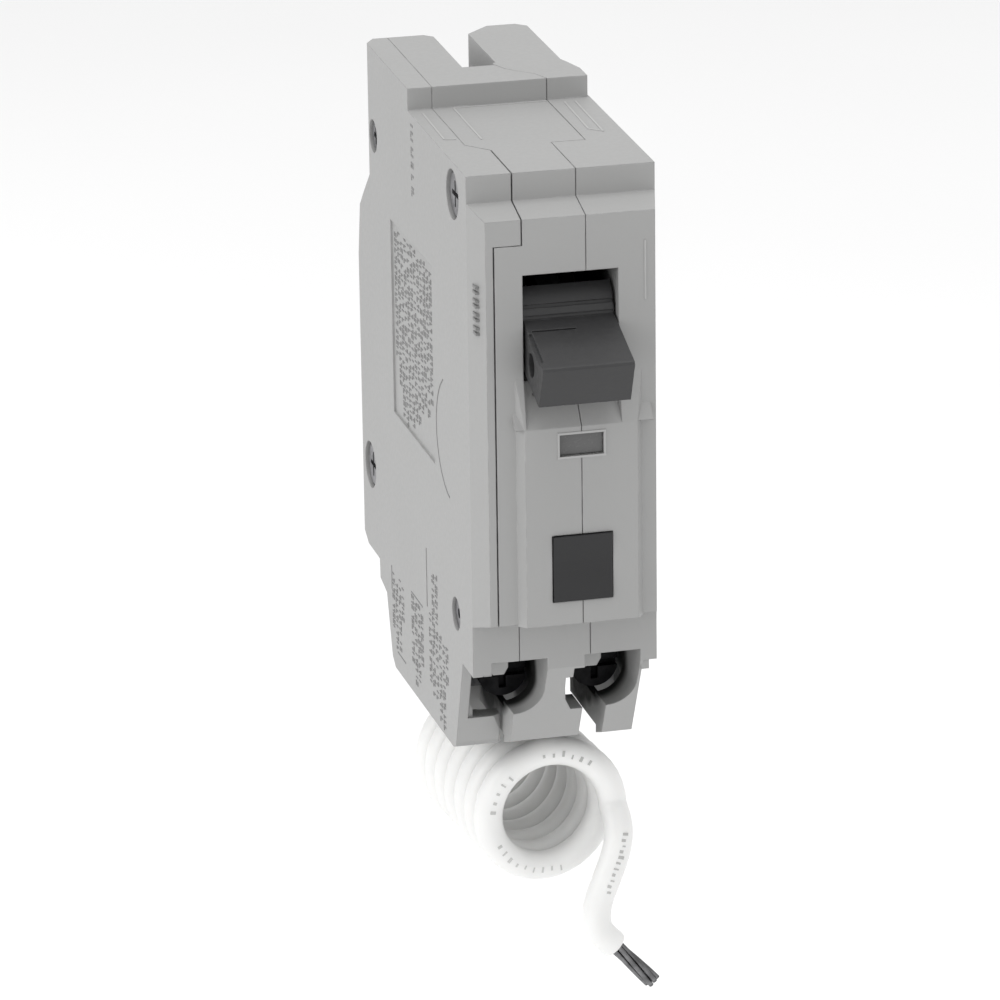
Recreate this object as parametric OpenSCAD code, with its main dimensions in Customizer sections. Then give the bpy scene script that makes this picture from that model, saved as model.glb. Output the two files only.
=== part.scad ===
// Single-pole plug-on ground-fault circuit breaker with a coiled neutral pigtail.
// Axes: +X right, +Y to the back, +Z up towards the busbar end. Origin: middle of the
// flat back face. Inside the modules Y is measured back from the front shoulder and Z
// down from the top shoulder; at_mount() moves that frame to the origin.

/* [Case] */
// Width of one pole
case_w = 25.4; // [20:0.1:30]
// Front shoulder to the flat back face
case_d = 65; // [55:0.5:75]
// Top shoulder down to the mounting origin
mount_drop = 45; // [35:1:55]
// Outer skin of the mouldings
skin = 1.4; // [1:0.1:2]
// Thickness of the two flat side skins
side_skin = 1.2; // [1:0.1:2]
// Gap left along the parting lines
part_gap = 0.1; // [0.04:0.02:0.2]
// How far the nose stands in front of the shoulder
nose_out = 4.8; // [3:0.1:7]
// How far the lower plate stands in front of the nose
plate_out = 1.4; // [0.6:0.1:3]
// Rise of the top face from the front shoulder to the upper step
top_rise = 0.8; // [0:0.1:2]
// Height of the upper step above the top shoulder
step_h = 3.8; // [2:0.1:6]
// Height of the prong ends above the top shoulder
prong_h = 4.5; // [2:0.1:6]
// Where the upper step starts
step_y = 32.5; // [28:0.5:38]
// Bottom face below the top shoulder
case_h = 83.4; // [80:0.2:88]
// Inner face of the left side of the busbar slot
slot_x0 = -3; // [-4:0.5:-2]
// Inner face of the right side of the busbar slot
slot_x1 = 2; // [1:0.5:3]
// Bottom of the busbar slot
slot_z = -13; // [-16:0.5:-10]
// Left face of the wall between electronics and mechanism
wall_x = -2.9; // [-4:0.1:-2]
// Thickness of that wall
wall_t = 1; // [0.8:0.1:1.6]

/* [Handle] */
// Pivot height of the handle
handle_z = -20; // [-24:0.5:-16]
// Pivot depth of the handle
handle_y = 3; // [1:0.5:6]
// Angle below level in the off position
handle_off = 20; // [10:1:25]
// Width of the handle block
handle_w = 12.3; // [10:0.1:13]
// Thickness of the handle block
handle_t = 6.3; // [5:0.1:8]
// Pivot to the outer end of the handle
handle_reach = 16.5; // [14:0.5:20]
// Radius of the round drum that closes the opening
drum_r = 6.6; // [5:0.1:7]
// Radius of the tie hole through the handle
tie_r = 1.6; // [1:0.1:2]
// Pivot pin radius
pivot_r = 1.2; // [1:0.1:1.5]

/* [Front] */
// Middle of the plate, window and button
plate_x = 0.9; // [0:0.1:2]
// Width of the raised plate
plate_w = 15.3; // [12:0.1:18]
// Window width
window_w = 6; // [4:0.1:8]
// Window height
window_h = 3; // [2:0.1:5]
// Button width
button_w = 8.3; // [6:0.1:10]
// Button height
button_h = 9.3; // [6:0.1:12]

/* [Terminals] */
// Middle of the left, neutral terminal
neutral_x = -6.3; // [-8:0.1:-5]
// Middle of the right, load terminal
load_x = 6.6; // [5:0.1:8]
// Height of both terminal screws
lug_z = -72.5; // [-75:0.1:-70]
// Radius of the screwdriver channels
lug_r = 3.85; // [3:0.05:5]
// Terminal screw shank radius
screw_r = 2; // [1.5:0.1:2.5]

/* [Pigtail] */
// Wire diameter over the insulation
wire_d = 4; // [3:0.1:5]
// Mean radius of the coil
coil_r = 8.8; // [7:0.1:12]
// Height of the coil axis
coil_z = -95.6; // [-100:0.1:-92]
// Length of the coil
coil_len = 32.8; // [20:0.1:36]

/* [Hidden] */
half_w = case_w / 2;
nose_y = -nose_out;
plate_y = nose_y - plate_out;
in_l = -half_w + side_skin;
in_r = half_w - side_skin;
wall_r = wall_x + wall_t;
nose_top = -5;
nose_bottom = -60.5;
chin_top = -62;
chin_bottom = -69;
// left parting plane, its step to the front and the part left of the chin
left_x = -9.3;
left_front_x = -6.55;
left_nose_x = -10.3;
left_chin_x = -6.3;
left_jog_z = -8.45;
// lower edge of the wire entry in the left front wall
entry_z = -78.3;
// right parting plane at the top front, top back, below the handle and at the chin
right_top_x = 2.05;
right_back_x = 6.7;
right_low_x = 0.9;
right_chin_x = 3.5;
// fastener axes as [depth, height, head pocket radius]
screw_spots = [[7.5, -4.3, 3.4], [60.1, -58.1, 3.4]];
short_spot = [54, -8.2, 2.35];
rivet_spot = [9.2, -63.2, 2.3];
shank_r = 1.3;
head_depth = 2;
head_t = 1.6;
bore_gap = 0.05;
// handle opening
open_x0 = -6.5;
open_x1 = 6.4;
open_top = -12.5;
open_bottom = -27.6;
// front features
window_z = -35.7;
button_z = -52.7;
button_in = -2.6;
leaf_y = 0.7;
leaf_z = -58.6;
leaf_boss = 3;
flag_y = 8;
flag_z = -41.6;
// switching contacts
contact_x = 4.8;
arm_y = 14;
arm_z = -31;
arm_open = 18;
contact_y = 30;
contact_z = -9.5;
// cradle and armature pivots
cradle_y = 20;
cradle_z = -24.5;
armature_y = 49.5;
armature_z = -50;
// terminal plates and clamps
plate_back = 21;
plate_front = 19.6;
clamp_front = 13.4;
clamp_t = 1.5;
head_front = 9.8;
solenoid_x = -7;
solenoid_z = -45;
board_holes = [[16.6, -18], [33.6, -18], [33.6, -45.6]];
// pigtail axis, turned a little about the vertical
coil_y0 = 12.4;
coil_x0 = 2;
coil_turn = 6;
// inner end of the slanted gland and where round the coil the wire meets it
gland = [-3.6, 43.1, -81.2];
join_angle = 45;
eps = 0.02;

light_grey = [0.70, 0.70, 0.69];
near_black = [0.10, 0.10, 0.10];
dark_grey = [0.22, 0.22, 0.22];
copper = [0.78, 0.47, 0.30];
silver = [0.80, 0.80, 0.78];
steel = [0.62, 0.63, 0.65];
white = [0.93, 0.93, 0.91];
green = [0.10, 0.35, 0.20];

// ---------- frame and extrusion helpers ----------

module at_mount() {
    translate([0, -case_d, mount_drop])
        children();
}

// depth/height outline swept across the width
module side(x0, x1) {
    translate([x0, 0, 0])
        rotate([90, 0, 90])
            linear_extrude(x1 - x0)
                children();
}

// plan outline swept up
module plan(z0, z1) {
    translate([0, 0, z0])
        linear_extrude(z1 - z0)
            children();
}

// width/height outline swept back
module front(y0, y1) {
    translate([0, y1, 0])
        rotate([90, 0, 0])
            linear_extrude(y1 - y0)
                children();
}

module box(x0, x1, y0, y1, z0, z1) {
    translate([x0, y0, z0])
        cube([x1 - x0, y1 - y0, z1 - z0]);
}

module rod_x(x0, x1, y, z, r, n = 40) {
    translate([x0, y, z])
        rotate([0, 90, 0])
            cylinder(h = x1 - x0, r = r, $fn = n);
}

module rod_y(y0, y1, x, z, r, n = 40) {
    translate([x, y1, z])
        rotate([90, 0, 0])
            cylinder(h = y1 - y0, r = r, $fn = n);
}

module rod_z(z0, z1, x, y, r, n = 40) {
    translate([x, y, z0])
        cylinder(h = z1 - z0, r = r, $fn = n);
}

// turns its children about an axis along the width
module swing(y, z, a) {
    translate([0, y, z])
        rotate([a, 0, 0])
            translate([0, -y, -z])
                children();
}

// ---------- round wires as one swept skin ----------

function unit(v) = v / norm(v);
function ring_dir(p, i) =
    i == 0 ? unit(p[1] - p[0])
    : i == len(p) - 1 ? unit(p[i] - p[i - 1])
    : unit(unit(p[i] - p[i - 1]) + unit(p[i + 1] - p[i]));
function side_of(d) = unit(cross(d, abs(d[0]) < 0.9 ? [1, 0, 0] : [0, 1, 0]));
function carried(p, i, u) =
    let (d = ring_dir(p, i), w = u - d * (u * d))
    unit(w);
function frames(p, i = 0, u = undef, out = []) =
    i == len(p) ? out
    : let (v = i == 0 ? side_of(ring_dir(p, 0)) : carried(p, i, u))
    frames(p, i + 1, v, concat(out, [v]));
module wire(path, r, sides = 10) {
    count = len(path);
    across = frames(path);
    points = [
        for (i = [0:count - 1])
            let (d = ring_dir(path, i), u = across[i], v = cross(d, u))
            for (k = [0:sides - 1])
                path[i] + r * (cos(360 * k / sides) * u + sin(360 * k / sides) * v)
    ];
    skins = [
        for (i = [0:count - 2])
            for (k = [0:sides - 1])
                let (m = (k + 1) % sides)
                [i * sides + k, (i + 1) * sides + k, (i + 1) * sides + m, i * sides + m]
    ];
    polyhedron(
        points,
        concat(
            [[for (k = [0:sides - 1]) k]],
            skins,
            [[for (k = [sides - 1:-1:0]) (count - 1) * sides + k]]
        )
    );
}

// rounds the corners of a route: points along a chain of short curves
function bend(a, b, c, t) = (1 - t) * (1 - t) * a + 2 * t * (1 - t) * b + t * t * c;
function rounded(p, n = 4) = concat(
    [p[0]],
    [
        for (i = [1:len(p) - 2])
            for (k = [i == 1 ? 0 : 1:n])
                bend((p[i - 1] + p[i]) / 2, p[i], (p[i] + p[i + 1]) / 2, k / n)
    ],
    [p[len(p) - 1]]
);

// ---------- case envelope ----------

outline = [
    [0, 0], [step_y, top_rise], [step_y, step_h], [61.2, prong_h], [61.2, -18.3],
    [63.5, -20.5],
    [case_d, -28], [case_d, -69.5], [62.5, -70.8], [55.5, -70.8], [55.3, -73.6],
    [51.3, -74.5], [48.4, -83], [46.6, -84.2], [12, -case_h], [6.1, -81.2],
    [0, chin_bottom], [0, chin_top], [nose_y, nose_bottom], [nose_y, nose_top], [0, -3.7]
];
hollow = [
    [skin, -skin], [step_y + skin, -skin], [step_y + skin, step_h - skin],
    [57.2, step_h - skin], [57.2, -16.4], [62.2, -21], [case_d - skin, -28.3],
    [case_d - skin, -68.6], [62, -69.4], [54.2, -69.4], [54, -72.5], [50.3, -73.3],
    [47.3, -82], [46.2, -82.8], [24, -82.2], [24, -66], [skin, -66],
    [skin, -61], [nose_y + skin, -59.4], [nose_y + skin, -6], [skin, -4.8]
];

module envelope() {
    difference() {
        intersection() {
            side(-half_w, half_w)
                polygon(outline);
            plan(-90, 10)
                polygon([
                    [-half_w, 0], [-half_w + 1.3, nose_y], [half_w - 1.3, nose_y],
                    [half_w, 0], [half_w, 70], [-half_w, 70]
                ]);
        }
        // busbar slot, open to the top and the back
        plan(slot_z, 10)
            polygon([
                [slot_x0, 70], [slot_x0, 42.3], [slot_x0 + 1.2, 41], [slot_x1 - 1.2, 41],
                [slot_x1, 42.3], [slot_x1, 70]
            ]);
        // back of the left prong
        plan(-14.4, 10)
            polygon([
                [-20, 56.8], [-half_w, 56.8], [-half_w + 1.3, 58.8], [slot_x0 - 1.2, 58.8],
                [slot_x0, 57.6], [slot_x0 + 1, 70], [-20, 70]
            ]);
        side(-20, slot_x0)
            polygon([[56.8, -14.4 - eps], [56.8, -14.3], [70, -14.3], [70, -18.3], [61.2, -18.3]]);
        // back and outer side of the right prong
        plan(-14.4, 10)
            polygon([
                [slot_x1 - 1, 70], [slot_x1, 57.7], [5.5, 61.2], [9.6, 61.2], [11, 59.8],
                [11, 41.5], [half_w, 36.4], [20, 35.5], [20, 70]
            ]);
        plan(top_rise, 10)
            polygon([[12.4, 20], [20, 20], [20, 42], [11, 42], [12.4, 36.4]]);
        // left and right lower corners are set back from the two terminal guides
        intersection() {
            side(-20, 0)
                polygon([
                    [-1, chin_bottom], [5.8, chin_bottom], [10.4, -82.3], [10.4, -90], [-1, -90]
                ]);
            front(-2, 12)
                beside_wall(neutral_x, 8);
        }
        side(10.8, 20)
            polygon([[-1, chin_bottom], [8, chin_bottom], [13.8, -82.3], [13.8, -90], [-1, -90]]);
    }
}

// low plate around the window and the button
module raised_plate() {
    half = plate_w / 2;
    intersection() {
        side(-half_w, half_w)
            polygon([
                [nose_y + 1, -26.4], [nose_y, -26.4], [plate_y, -33.2], [plate_y, nose_bottom - 0.1],
                [nose_y + 1, nose_bottom - 0.3]
            ]);
        plan(-65, -20)
            polygon([
                [plate_x - half - 1.4, nose_y + 1], [plate_x - half - 0.9, nose_y],
                [plate_x - half, plate_y], [plate_x + half, plate_y],
                [plate_x + half + 0.9, nose_y], [plate_x + half + 1.4, nose_y + 1]
            ]);
    }
}

module solid_case() {
    envelope();
    raised_plate();
}

// ---------- what is cut out of the case ----------

module channel_outline(x) {
    translate([x, lug_z])
        circle(r = lug_r, $fn = 48);
    translate([x - lug_r, lug_z])
        square([2 * lug_r, -67.4 - lug_z]);
}

// open side left of a terminal, where the wire goes in
module beside_wall(x, reach) {
    polygon([
        [x - reach, chin_bottom - 0.2], [x - lug_r, chin_bottom - 0.2], [x - lug_r, lug_z],
        [x, lug_z], [x, -90], [x - reach, -90]
    ]);
}

module driver_channel(x) {
    front(-8, 12)
        channel_outline(x);
}

// pocket behind a channel, open at the bottom
module terminal_pocket(x, y0, z1) {
    box(x - 4.3, x + 4.3, y0, 22.6, -90, z1);
}

// rib that carries the left flank of a guide on to the back of the pocket
module pocket_rib(x) {
    box(x, x + 0.9, 7.5, 22.8, -81.2, -77.15);
}

module front_openings() {
    // handle opening with its sloped thumb ramp
    side(open_x0, open_x1)
        polygon([
            [-12, open_top], [11.5, open_top], [11.5, -28.6], [1.6, -28.6], [1.6, open_bottom],
            [-2.4, open_bottom], [plate_y, -33.2], [-12, -33.2]
        ]);
    // window and button holes
    box(plate_x - window_w / 2, plate_x + window_w / 2, -12, 2,
        window_z - window_h / 2, window_z + window_h / 2);
    box(plate_x - button_w / 2, plate_x + button_w / 2, -12, 2,
        button_z - button_h / 2, button_z + button_h / 2);
}

module fastener_holes() {
    for (s = screw_spots) {
        rod_x(-20, 8.6, s[0], s[1], shank_r + bore_gap);
        rod_x(-20, -half_w + head_depth, s[0], s[1], s[2]);
    }
    rod_x(-20, -4.2, short_spot[0], short_spot[1], shank_r + bore_gap);
    rod_x(-20, -half_w + head_depth, short_spot[0], short_spot[1], short_spot[2]);
    rod_x(-20, 8.6, rivet_spot[0], rivet_spot[1], shank_r + bore_gap);
    rod_x(-20, -half_w + head_depth, rivet_spot[0], rivet_spot[1], rivet_spot[2]);
}

module fastener_posts(x0, x1) {
    for (s = screw_spots)
        rod_x(x0, x1, s[0], s[1], 3.1);
    rod_x(x0, x1, rivet_spot[0], rivet_spot[1], 2.6);
}

// ---------- parting regions ----------

module left_region(g) {
    difference() {
        union() {
            box(-20, left_x + g / 2, -10, 80, -90, 10);
            plan(left_jog_z - g, 10)
                polygon([
                    [left_x - 1, 14.2 + g], [left_x, 14.2 + g], [left_front_x + 2 * g, 11 + g],
                    [left_front_x + 2 * g, -10], [left_x - 1, -10]
                ]);
            box(left_x - 1, left_chin_x + g, -10, 5.8 + g, chin_bottom, chin_top + g);
            // front wall of the wire entry
            box(left_x - 1, neutral_x - 0.4 + g, 7, 11.9 + g, -90, entry_z + g);
        }
        box(left_nose_x + 2 * g, left_x + 1, -10, skin, chin_top, left_jog_z - g);
        // room for the middle guide
        box(-11.3 + g, 0, -10, 9.4 - g, entry_z + g, chin_bottom - eps);
        box(-11.3 + g, 0, -10, 5.5, -90, entry_z + 1);
    }
}

module right_region(g) {
    plan(open_top, 10)
        polygon([
            [right_top_x - g, -10], [right_top_x - g, 12.5 + g], [right_back_x - g, 12.5 + g],
            [right_back_x - g, 32.6], [5.7 - g, 35.2], [2.5 - g, 38.6], [1.4 - g, 41.5],
            [1.4 - g, 80], [20, 80], [20, -10]
        ]);
    box(right_low_x - g, 20, -10, 80, chin_top, open_top + eps);
    box(right_chin_x - g, 20, -10, 80, -90, chin_top + eps);
}

// ---------- mouldings ----------

module left_cover() {
    difference() {
        intersection() {
            solid_case();
            left_region(-part_gap / 2);
        }
        // hollow behind the skin, clear of the fastener posts
        difference() {
            side(in_l, 0)
                polygon(hollow);
            fastener_posts(in_l, 0);
            for (s = screw_spots)
                rod_x(in_l, -half_w + head_depth + 1.4, s[0], s[1], s[2] + 1);
            rod_x(in_l, 0, short_spot[0], short_spot[1], 2.6);
            box(-20, 0, -8, skin + 10, left_jog_z, 2);
            box(-20, 0, -8, 0.4, -80, 2);
        }
        box(left_x + 0.6, 0, skin, 14.5, -7.4, -skin);
        driver_channel(neutral_x);
        terminal_pocket(neutral_x, 12, -68.2);
        box(neutral_x - 4.3, neutral_x + 4.3, 9.2, 12.1, entry_z, -68.2);
        // wire entry in the front wall
        front(5, 12)
            polygon([
                [-11.3, chin_bottom], [-11.3, -74.6], [-10.9, -76.6], [-9.9, entry_z],
                [0, entry_z], [0, chin_bottom]
            ]);
        // below the wire entry the wall slopes back to the guide
        translate([0, 0, -90])
            linear_extrude(90 + entry_z + 0.1)
                polygon([
                    [-11.3, 4], [neutral_x + 0.2, 4], [neutral_x + 0.2, 10.4], [-11.3, 6.2]
                ]);
        fastener_holes();
        front_openings();
        // shallow label field on the side
        side(-20, -half_w + 0.3)
            polygon([[20, -17.6], [44.4, -17.6], [44.4, -45.4], [20, -45.4]]);
        // narrow groove below the label
        box(-20, -half_w + 0.25, 26, 26.5, -68, -59.5);
    }
    // pegs through the circuit board
    for (p = board_holes)
        rod_x(in_l - eps, -9.2, p[0], p[1], 0.8, 24);
    // stop beside the driver channel
    front(4, 5.7)
        polygon([
            [neutral_x - lug_r - 0.5, -67], [neutral_x - 0.6, -67], [neutral_x - 0.6, -69.6],
            [neutral_x - 1.2, -70.6], [neutral_x - 2.7, -70.6], [neutral_x - 3.4, -68.9],
            [neutral_x - lug_r - 0.5, -68.9]
        ]);
}

module center_frame() {
    difference() {
        union() {
            difference() {
                intersection() {
                    solid_case();
                    difference() {
                        box(-20, 20, -10, 80, -90, 10);
                        left_region(part_gap / 2);
                        right_region(part_gap / 2);
                    }
                }
                difference() {
                    side(-20, 20)
                        polygon(hollow);
                    fastener_posts(-20, 20);
                    rod_x(-20, slot_x0, short_spot[0], short_spot[1], 2.6);
                    // floor and walls of the busbar slot
                    box(slot_x0 - 1.2, slot_x1 + 1.2, 39.6, 80, slot_z - 1.2, 10);
                }
            }
            // wall between electronics and mechanism
            intersection() {
                envelope();
                box(wall_x, wall_r, -2, 80, -83, 2);
            }
            // left bearing of the handle
            box(-8.6, -6.6, nose_y + 0.6, 9.5, -27.5, -12.8);
            difference() {
                thumb_ramp(-8, 3);
                right_region(part_gap / 2);
            }
            // rib beside the circuit board
            box(-9.2, wall_x + eps, 13, 14.2, -47, -20);
        }
        box(slot_x0, slot_x1, 41, 80, slot_z, 10);
        front_openings();
        fastener_holes();
        driver_channel(neutral_x);
        driver_channel(load_x);
        front(-8, 12)
            beside_wall(neutral_x, 5.5);
        difference() {
            terminal_pocket(neutral_x, 9.2, -68.2);
            pocket_rib(neutral_x);
        }
        terminal_pocket(load_x, 9.2, -68.2);
        tip_clearance(neutral_x);
        // right flank of the middle guide with the entry for the load wire
        front(-8, 12)
            polygon([
                [8, -69.3], [1.3, -69.3], [1.3, -70.8], [0.3, -70.8], [0.4, -72.6],
                [0.7, -74.6], [1.6, -76.4], [3.3, -76.4], [3.3, -90], [8, -90]
            ]);
        // pivot bore, conductor holes, trip finger slot and strap slot in the wall
        rod_x(-8.2, -6, handle_y, handle_z, pivot_r + bore_gap);
        rod_x(-4, -1, 44, -32, 3.4);
        rod_x(-4, -1, 26.4, -64.9, 1.8);
        box(-4, 0, 45.6, 50.4, -46.6, -43.4);
        box(-1.3, 0.3, 39, 42, -12.8, -9.4);
        tab_slot(neutral_x);
        // room for the trip flag and the button behind the plate
        box(-5, 6, -3.5, skin + 5, -46, -29);
        box(-5, 6, -3.5, skin + 7, -60, -45.5);
        // slanted gland for the pigtail, along its first straight length
        translate(gland - 0.7 * gland_dir)
            rotate([0, acos(gland_dir[2]), atan2(gland_dir[1], gland_dir[0])])
                cylinder(h = 12, r = wire_d / 2 + 0.1, $fn = 40);
    }
}

// open space below the load terminal
module underside_recess() {
    box(4.7, 11.3, 10, 40, -90, -77.6);
}

// shell behind the sloped thumb rest below the handle
module thumb_ramp(x0, x1) {
    side(x0, x1)
        polygon([
            [plate_y, -33.2], [-2.4, open_bottom], [1.6, open_bottom], [1.6, open_bottom - 1],
            [-1.8, open_bottom - 1], [nose_y + 1, -33]
        ]);
}

// room for the tip of the terminal screw behind the pocket
module tip_clearance(x) {
    rod_y(22, 27, x, lug_z, screw_r + 0.3);
}

// slot for the terminal's tab in the back wall of its pocket
module tab_slot(x) {
    box(x - 1.6, x + 1.6, 22, 24.6, -70.6, -68.9);
}

module right_base() {
    difference() {
        union() {
            difference() {
                intersection() {
                    solid_case();
                    right_region(-part_gap / 2);
                }
                difference() {
                    side(wall_r, in_r)
                        polygon(hollow);
                    fastener_posts(0, in_r);
                    box(-20, 20, 39.6, 80, -16, 10);
                    box(9.2, 20, 33, 80, -16, 10);
                    box(10.3, 20, -8, 0.4, -80, 2);
                    // floor and walls of the open underside
                    box(0, 20, 22.6, 41.4, -84, -76.4);
                }
                // hollow right prong
                box(slot_x1 + 1.4, 9.1, 42.4, 56, slot_z - 4, step_h - skin);
            }
            // right bearing of the handle
            box(6.6, in_r + eps, nose_y + 0.6, 9.5, -27.5, -12.8);
            intersection() {
                thumb_ramp(0, half_w - 2);
                right_region(-part_gap / 2);
            }
            // boss that carries the contact leaf
            rod_x(leaf_boss, in_r + eps, leaf_y, leaf_z, 1.3, 24);
        }
        front_openings();
        fastener_holes();
        driver_channel(load_x);
        front(-8, 12)
            beside_wall(load_x, 6.6);
        terminal_pocket(load_x, 9.2, -68.2);
        tip_clearance(load_x);
        underside_recess();
        tab_slot(load_x);
        rod_x(0, leaf_boss + 2, leaf_y, leaf_z, 0.65, 24);
        rod_x(6, 9.4, handle_y, handle_z, pivot_r + bore_gap);
        // shallow label field
        side(half_w - 0.3, 20)
            polygon([[14, -22], [56, -22], [56, -56], [14, -56]]);
    }
    // stop beside the driver channel
    front(4, 9)
        polygon([
            [right_chin_x, -67], [load_x - 0.6, -67], [load_x - 0.6, -69.6],
            [load_x - 1.2, -70.6], [right_chin_x, -70.6]
        ]);
    pocket_rib(load_x);
    // small nub below the chin
    box(10.6, 11.7, 0.3, 1.6, -70.4, chin_bottom + eps);
}

// ---------- fasteners ----------

module pan_screw(x_head, x_end, y, z, head_r) {
    difference() {
        union() {
            rod_x(x_head, x_end, y, z, shank_r);
            rod_x(x_head, x_head + head_t, y, z, head_r);
        }
        box(x_head - 1, x_head + 0.8, y - head_r * 0.62, y + head_r * 0.62, z - 0.35, z + 0.35);
        box(x_head - 1, x_head + 0.8, y - 0.35, y + 0.35, z - head_r * 0.62, z + head_r * 0.62);
    }
}

module case_screws() {
    seat = -half_w + head_depth;
    for (s = screw_spots)
        pan_screw(seat - head_t, 8, s[0], s[1], 2.9);
    pan_screw(seat - head_t, -4.6, short_spot[0], short_spot[1], 2);
}

module case_rivet() {
    seat = -half_w + head_depth;
    difference() {
        union() {
            rod_x(seat - head_t, 8, rivet_spot[0], rivet_spot[1], shank_r);
            rod_x(seat - head_t, seat, rivet_spot[0], rivet_spot[1], 2.1);
        }
        rod_x(seat - 2, seat + 1.2, rivet_spot[0], rivet_spot[1], 0.7);
    }
}

// ---------- handle and front controls ----------

module handle() {
    w = handle_w / 2;
    t = handle_t / 2;
    swing(handle_y, handle_z, handle_off) {
        difference() {
            union() {
                // grip block, drawn level and swung down
                side(-w, w)
                    polygon([
                        [handle_y - handle_reach, handle_z - t + 0.2],
                        [handle_y - handle_reach - 0.2, handle_z + t - 0.3],
                        [handle_y - handle_reach + 0.1, handle_z + t],
                        [handle_y - 5, handle_z + t], [handle_y - 5, handle_z - t],
                        [handle_y - handle_reach + 0.4, handle_z - t]
                    ]);
                // drum that fills the opening
                intersection() {
                    rod_x(-w, w, handle_y, handle_z, drum_r, 64);
                    side(-20, 20)
                        polygon([
                            [handle_y, handle_z], [handle_y - 3, handle_z + 8],
                            [handle_y - 12, handle_z + 8], [handle_y - 12, handle_z - 8],
                            [handle_y - 3, handle_z - 8]
                        ]);
                }
                rod_x(-w, w, handle_y, handle_z, 3);
                // tail that drives the contact arm
                box(-1.6, 1.6, handle_y, handle_y + 6, handle_z - 1.4, handle_z + 1.4);
            }
            rod_x(-20, 20, handle_y, handle_z, pivot_r + bore_gap);
            rod_x(-20, 20, handle_y - 11.3, handle_z, tie_r, 48);
            // shallow step along the upper left edge and two drum grooves
            box(-w - 1, -w + 0.5, handle_y - 15, handle_y - 8.6, handle_z + t - 0.5, handle_z + 5);
            box(-w + 0.6, 0.4, handle_y - 8.4, handle_y - 8.1, handle_z + t - 0.4, handle_z + 5);
            for (a = [-31, -44])
                swing(handle_y, handle_z, a)
                    box(-20, 20, handle_y - drum_r - 1, handle_y - drum_r + 0.3,
                        handle_z - 0.25, handle_z + 0.25);
        }
    }
}

module handle_pin() {
    rod_x(-8, 9.2, handle_y, handle_z, pivot_r);
}

module test_button() {
    w = button_w / 2 - 0.12;
    h = button_h / 2 - 0.12;
    difference() {
        union() {
            side(plate_x - w, plate_x + w)
                polygon([
                    [plate_y - 0.35, button_z + h], [plate_y - 0.1, button_z + 1],
                    [plate_y - 0.1, button_z - 0.4], [plate_y - 0.35, button_z - h],
                    [button_in, button_z - h], [button_in, button_z + h]
                ]);
            box(plate_x - w - 0.7, plate_x + w + 0.7, button_in - 0.6, button_in,
                button_z - h - 0.7, button_z + h + 0.7);
            box(plate_x - 1, plate_x + 1, button_in - eps, 0.2, button_z + 1, button_z + 3);
        }
        box(plate_x - w + 1.2, plate_x + w - 1.2, plate_y + 1.4, button_in + 1,
            button_z - h + 1.2, button_z - 0.4);
    }
}

module test_leaf() {
    difference() {
        box(plate_x - 1.4, plate_x + 1.4, 0.3, 0.6, leaf_z, button_z + 4);
        box(plate_x - 0.5, plate_x + 0.5, 0, 1, -57, -54);
    }
    rod_x(plate_x - 1.4, leaf_boss + 1.8, leaf_y, leaf_z, 0.6, 24);
}

module indicator_lens() {
    w = window_w / 2 - 0.08;
    h = window_h / 2 - 0.08;
    box(plate_x - w, plate_x + w, plate_y + 0.5, plate_y + 1.6, window_z - h, window_z + h);
}

module trip_flag() {
    difference() {
        union() {
            box(plate_x - 2.8, plate_x + 2.8, -3, -2.2, window_z - 2.2, window_z + 1.6);
            side(plate_x - 0.6, plate_x + 0.6)
                polygon([
                    [-2.3, window_z], [6.6, -39.4], [9, -40], [9, -43], [6.4, -43],
                    [-2.3, window_z - 2.2]
                ]);
            rod_x(plate_x - 0.6, plate_x + 0.6, flag_y, flag_z, 1.8, 32);
        }
        rod_x(-20, 20, flag_y, flag_z, 0.8 + bore_gap, 32);
    }
}

module flag_pin() {
    rod_x(wall_r, 3, flag_y, flag_z, 0.8, 32);
}

// ---------- line side ----------

module line_jaw() {
    difference() {
        union() {
            box(-2.3, 1.3, 43, 44.2, -11.6, -2);
            for (x = [-2.3, 0.5])
                side(x, x + 0.8)
                    polygon([
                        [43, -11.6], [51.4, -10.6], [52.6, -8.6], [52.6, -4.6], [51.4, -2.8],
                        [43, -2]
                    ]);
        }
        box(-0.9, -0.1, 42, 45, -8, -6);
    }
}

module jaw_spring() {
    difference() {
        box(-2.8, 1.8, 42.3, 49, -9, -4.4);
        box(-2.35, 1.35, 42.9, 50, -10, -4);
    }
}

module line_strap() {
    box(-1.1, 0.1, 31.2, 43, -12.6, -9.6);
    box(-1.1, 7.2, contact_y + 1.2, contact_y + 2.4, -13, -5);
}

module fixed_contact() {
    rod_y(contact_y, contact_y + 1.2, contact_x, contact_z, 2.2);
}

// ---------- switching parts ----------

module contact_arm() {
    swing(arm_y, arm_z, arm_open)
        difference() {
            side(contact_x - 0.9, contact_x + 0.9)
                polygon([
                    [12, -33.5], [16.4, -33.5], [17.6, -28.5], [22, -20], [28.6, -14],
                    [28.6, -7.4], [26.4, -7.4], [25.8, -13], [19.6, -19], [13, -27], [11.6, -31]
                ]);
            rod_x(-20, 20, arm_y, arm_z, 1 + bore_gap, 32);
        }
}

module moving_contact() {
    swing(arm_y, arm_z, arm_open)
        rod_y(28.6, 29.9, contact_x, contact_z, 2.1);
}

module arm_pin() {
    rod_x(wall_r, 5.95, arm_y, arm_z, 1, 32);
}

module toggle_spring() {
    translate([1.9, 17.2, -29.6])
        rotate([-70, 0, 0])
            difference() {
                rotate_extrude($fn = 28)
                    translate([0.9, 0])
                        square([0.7, 6.5]);
                for (k = [0:7])
                    translate([0, 0, 0.35 + 0.8 * k])
                        rotate_extrude($fn = 28)
                            translate([1.35, 0])
                                square([0.5, 0.35]);
            }
}

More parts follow.
